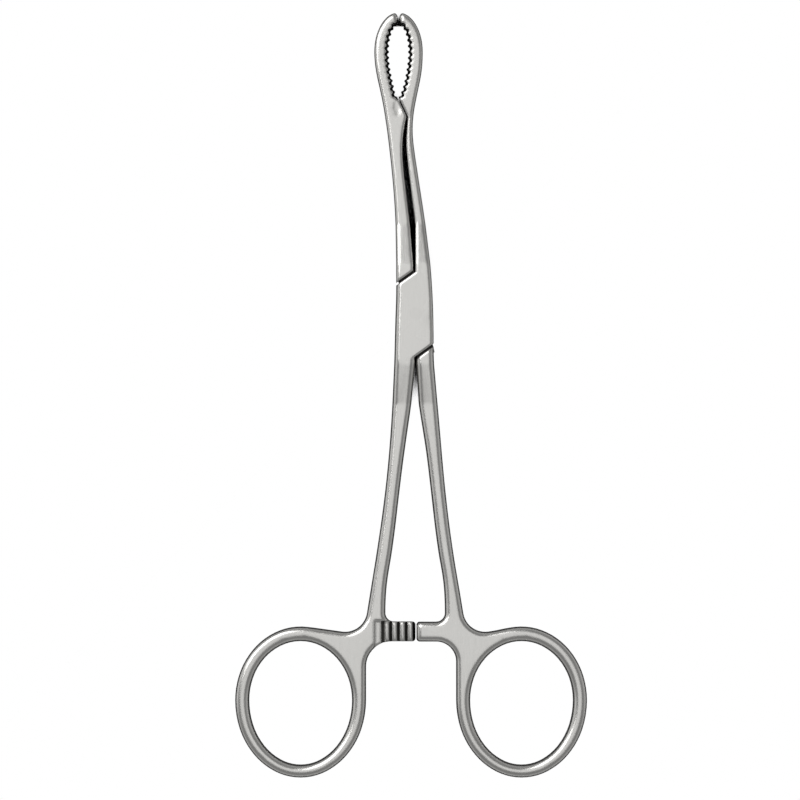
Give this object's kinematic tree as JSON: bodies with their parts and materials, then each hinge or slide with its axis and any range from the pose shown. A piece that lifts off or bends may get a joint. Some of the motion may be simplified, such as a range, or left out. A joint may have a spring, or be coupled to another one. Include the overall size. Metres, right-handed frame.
{
  "type": "sponge forceps",
  "caption": "Slender sponge forceps with finger rings, a ratchet between the shanks, a box lock and toothed half-oval jaws that close round an open window.",
  "frame": {"origin": "on the axis of the lock pin, in the plane of the lock's underside", "axes": "+X to the right of the flat front, +Y from the pin towards the jaws, +Z out of the flat front"},
  "size_m": [0.0828, 0.1798, 0.0056],
  "materials": {
    "box_half_steel": "satin-polished stainless steel",
    "tongue_half_steel": "satin-polished stainless steel",
    "pin_steel": "stainless steel, ground flush and satin-polished"
  },
  "bodies": {
    "box_side": {"box_half": "box_half_steel", "lock_pin": "pin_steel"},
    "tongue_side": {"tongue_half": "tongue_half_steel"}
  },
  "joints": [
    {"name": "lock_hinge", "type": "hinge", "parent": "box_side", "child": "tongue_side", "pos_m": [0, 0, 0.0028], "axis": [0, 0, 1], "range_deg": [-0.36, 50]}
  ]
}
